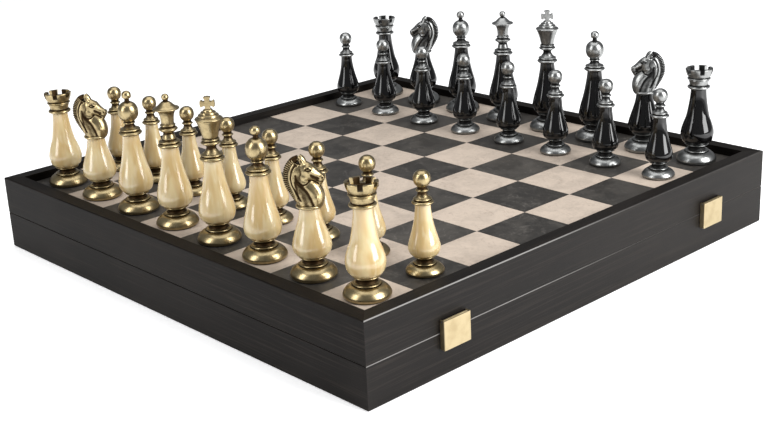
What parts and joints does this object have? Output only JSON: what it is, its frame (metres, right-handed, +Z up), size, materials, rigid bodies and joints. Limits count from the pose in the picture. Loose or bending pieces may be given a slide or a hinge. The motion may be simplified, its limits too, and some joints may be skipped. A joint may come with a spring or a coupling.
{
  "type": "chess set with board",
  "caption": "Chess set standing on its own hinged storage box: raised-rim board lid, square front latches, turned metal and resin chessmen.",
  "frame": {"origin": "centre of the box's flat bottom face, where the set rests on a table", "axes": "+X from White's side to Black's side, +Y from the latch side to the hinge side, +Z up"},
  "size_m": [0.406, 0.4152, 0.148],
  "materials": {
    "black_wood": "satin",
    "panel_wood": "matte",
    "green_felt": "matte",
    "light_veneer": "satin",
    "dark_veneer": "satin",
    "latch_brass": "polished",
    "ivory_resin_and_brass": "gloss",
    "black_resin_and_pewter": "gloss"
  },
  "bodies": {
    "tray": {"tray_wall_front": "black_wood", "tray_wall_right": "black_wood", "tray_wall_back": "black_wood", "tray_wall_left": "black_wood", "base_panel": "panel_wood", "tray_lining": "green_felt", "tray_hinge_leaves": "latch_brass", "tray_hinge_screws": "latch_brass", "hinge_pins": "latch_brass", "latch_keepers": "latch_brass", "latch_keeper_screws": "latch_brass"},
    "lid": {"lid_wall_front": "black_wood", "lid_wall_right": "black_wood", "lid_wall_back": "black_wood", "lid_wall_left": "black_wood", "board_panel": "panel_wood", "light_squares": "light_veneer", "dark_squares": "dark_veneer", "lid_lining": "green_felt", "lid_hinge_leaves": "latch_brass", "lid_hinge_screws": "latch_brass", "latch_brackets": "latch_brass", "latch_bracket_screws": "latch_brass", "latch_pins": "latch_brass"},
    "latch_left": {"latch_plate_left": "latch_brass"},
    "latch_right": {"latch_plate_right": "latch_brass"},
    "piece_white_rook_a": {"white_rook_a": "ivory_resin_and_brass"},
    "piece_white_pawn_a": {"white_pawn_a": "ivory_resin_and_brass"},
    "piece_white_knight_b": {"white_knight_b": "ivory_resin_and_brass"},
    "piece_white_pawn_b": {"white_pawn_b": "ivory_resin_and_brass"},
    "piece_white_bishop_c": {"white_bishop_c": "ivory_resin_and_brass"},
    "piece_white_pawn_c": {"white_pawn_c": "ivory_resin_and_brass"},
    "piece_white_queen_d": {"white_queen_d": "ivory_resin_and_brass"},
    "piece_white_pawn_d": {"white_pawn_d": "ivory_resin_and_brass"},
    "piece_white_king_e": {"white_king_e": "ivory_resin_and_brass"},
    "piece_white_pawn_e": {"white_pawn_e": "ivory_resin_and_brass"},
    "piece_white_bishop_f": {"white_bishop_f": "ivory_resin_and_brass"},
    "piece_white_pawn_f": {"white_pawn_f": "ivory_resin_and_brass"},
    "piece_white_knight_g": {"white_knight_g": "ivory_resin_and_brass"},
    "piece_white_pawn_g": {"white_pawn_g": "ivory_resin_and_brass"},
    "piece_white_rook_h": {"white_rook_h": "ivory_resin_and_brass"},
    "piece_white_pawn_h": {"white_pawn_h": "ivory_resin_and_brass"},
    "piece_black_rook_a": {"black_rook_a": "black_resin_and_pewter"},
    "piece_black_pawn_a": {"black_pawn_a": "black_resin_and_pewter"},
    "piece_black_knight_b": {"black_knight_b": "black_resin_and_pewter"},
    "piece_black_pawn_b": {"black_pawn_b": "black_resin_and_pewter"},
    "piece_black_bishop_c": {"black_bishop_c": "black_resin_and_pewter"},
    "piece_black_pawn_c": {"black_pawn_c": "black_resin_and_pewter"},
    "piece_black_queen_d": {"black_queen_d": "black_resin_and_pewter"},
    "piece_black_pawn_d": {"black_pawn_d": "black_resin_and_pewter"},
    "piece_black_king_e": {"black_king_e": "black_resin_and_pewter"},
    "piece_black_pawn_e": {"black_pawn_e": "black_resin_and_pewter"},
    "piece_black_bishop_f": {"black_bishop_f": "black_resin_and_pewter"},
    "piece_black_pawn_f": {"black_pawn_f": "black_resin_and_pewter"},
    "piece_black_knight_g": {"black_knight_g": "black_resin_and_pewter"},
    "piece_black_pawn_g": {"black_pawn_g": "black_resin_and_pewter"},
    "piece_black_rook_h": {"black_rook_h": "black_resin_and_pewter"},
    "piece_black_pawn_h": {"black_pawn_h": "black_resin_and_pewter"}
  },
  "joints": [
    {"name": "lid_hinge", "type": "hinge", "parent": "tray", "child": "lid", "pos_m": [0, 0.2058, 0.028], "axis": [-1, 0, 0], "range_deg": [0, 180]},
    {"name": "latch_left_hinge", "type": "hinge", "parent": "lid", "child": "latch_left", "pos_m": [-0.133, -0.2047, 0.0357], "axis": [-1, 0, 0], "range_deg": [0, 100]},
    {"name": "latch_right_hinge", "type": "hinge", "parent": "lid", "child": "latch_right", "pos_m": [0.133, -0.2047, 0.0357], "axis": [-1, 0, 0], "range_deg": [0, 100]},
    {"name": "white_rook_a_lift", "type": "slide", "parent": "lid", "child": "piece_white_rook_a", "axis": [0, 0, 1], "range_m": [0, 0.12]},
    {"name": "white_pawn_a_lift", "type": "slide", "parent": "lid", "child": "piece_white_pawn_a", "axis": [0, 0, 1], "range_m": [0, 0.12]},
    {"name": "white_knight_b_lift", "type": "slide", "parent": "lid", "child": "piece_white_knight_b", "axis": [0, 0, 1], "range_m": [0, 0.12]},
    {"name": "white_pawn_b_lift", "type": "slide", "parent": "lid", "child": "piece_white_pawn_b", "axis": [0, 0, 1], "range_m": [0, 0.12]},
    {"name": "white_bishop_c_lift", "type": "slide", "parent": "lid", "child": "piece_white_bishop_c", "axis": [0, 0, 1], "range_m": [0, 0.12]},
    {"name": "white_pawn_c_lift", "type": "slide", "parent": "lid", "child": "piece_white_pawn_c", "axis": [0, 0, 1], "range_m": [0, 0.12]},
    {"name": "white_queen_d_lift", "type": "slide", "parent": "lid", "child": "piece_white_queen_d", "axis": [0, 0, 1], "range_m": [0, 0.12]},
    {"name": "white_pawn_d_lift", "type": "slide", "parent": "lid", "child": "piece_white_pawn_d", "axis": [0, 0, 1], "range_m": [0, 0.12]},
    {"name": "white_king_e_lift", "type": "slide", "parent": "lid", "child": "piece_white_king_e", "axis": [0, 0, 1], "range_m": [0, 0.12]},
    {"name": "white_pawn_e_lift", "type": "slide", "parent": "lid", "child": "piece_white_pawn_e", "axis": [0, 0, 1], "range_m": [0, 0.12]},
    {"name": "white_bishop_f_lift", "type": "slide", "parent": "lid", "child": "piece_white_bishop_f", "axis": [0, 0, 1], "range_m": [0, 0.12]},
    {"name": "white_pawn_f_lift", "type": "slide", "parent": "lid", "child": "piece_white_pawn_f", "axis": [0, 0, 1], "range_m": [0, 0.12]},
    {"name": "white_knight_g_lift", "type": "slide", "parent": "lid", "child": "piece_white_knight_g", "axis": [0, 0, 1], "range_m": [0, 0.12]},
    {"name": "white_pawn_g_lift", "type": "slide", "parent": "lid", "child": "piece_white_pawn_g", "axis": [0, 0, 1], "range_m": [0, 0.12]},
    {"name": "white_rook_h_lift", "type": "slide", "parent": "lid", "child": "piece_white_rook_h", "axis": [0, 0, 1], "range_m": [0, 0.12]},
    {"name": "white_pawn_h_lift", "type": "slide", "parent": "lid", "child": "piece_white_pawn_h", "axis": [0, 0, 1], "range_m": [0, 0.12]},
    {"name": "black_rook_a_lift", "type": "slide", "parent": "lid", "child": "piece_black_rook_a", "axis": [0, 0, 1], "range_m": [0, 0.12]},
    {"name": "black_pawn_a_lift", "type": "slide", "parent": "lid", "child": "piece_black_pawn_a", "axis": [0, 0, 1], "range_m": [0, 0.12]},
    {"name": "black_knight_b_lift", "type": "slide", "parent": "lid", "child": "piece_black_knight_b", "axis": [0, 0, 1], "range_m": [0, 0.12]},
    {"name": "black_pawn_b_lift", "type": "slide", "parent": "lid", "child": "piece_black_pawn_b", "axis": [0, 0, 1], "range_m": [0, 0.12]},
    {"name": "black_bishop_c_lift", "type": "slide", "parent": "lid", "child": "piece_black_bishop_c", "axis": [0, 0, 1], "range_m": [0, 0.12]},
    {"name": "black_pawn_c_lift", "type": "slide", "parent": "lid", "child": "piece_black_pawn_c", "axis": [0, 0, 1], "range_m": [0, 0.12]},
    {"name": "black_queen_d_lift", "type": "slide", "parent": "lid", "child": "piece_black_queen_d", "axis": [0, 0, 1], "range_m": [0, 0.12]},
    {"name": "black_pawn_d_lift", "type": "slide", "parent": "lid", "child": "piece_black_pawn_d", "axis": [0, 0, 1], "range_m": [0, 0.12]},
    {"name": "black_king_e_lift", "type": "slide", "parent": "lid", "child": "piece_black_king_e", "axis": [0, 0, 1], "range_m": [0, 0.12]},
    {"name": "black_pawn_e_lift", "type": "slide", "parent": "lid", "child": "piece_black_pawn_e", "axis": [0, 0, 1], "range_m": [0, 0.12]},
    {"name": "black_bishop_f_lift", "type": "slide", "parent": "lid", "child": "piece_black_bishop_f", "axis": [0, 0, 1], "range_m": [0, 0.12]},
    {"name": "black_pawn_f_lift", "type": "slide", "parent": "lid", "child": "piece_black_pawn_f", "axis": [0, 0, 1], "range_m": [0, 0.12]},
    {"name": "black_knight_g_lift", "type": "slide", "parent": "lid", "child": "piece_black_knight_g", "axis": [0, 0, 1], "range_m": [0, 0.12]},
    {"name": "black_pawn_g_lift", "type": "slide", "parent": "lid", "child": "piece_black_pawn_g", "axis": [0, 0, 1], "range_m": [0, 0.12]},
    {"name": "black_rook_h_lift", "type": "slide", "parent": "lid", "child": "piece_black_rook_h", "axis": [0, 0, 1], "range_m": [0, 0.12]},
    {"name": "black_pawn_h_lift", "type": "slide", "parent": "lid", "child": "piece_black_pawn_h", "axis": [0, 0, 1], "range_m": [0, 0.12]}
  ]
}
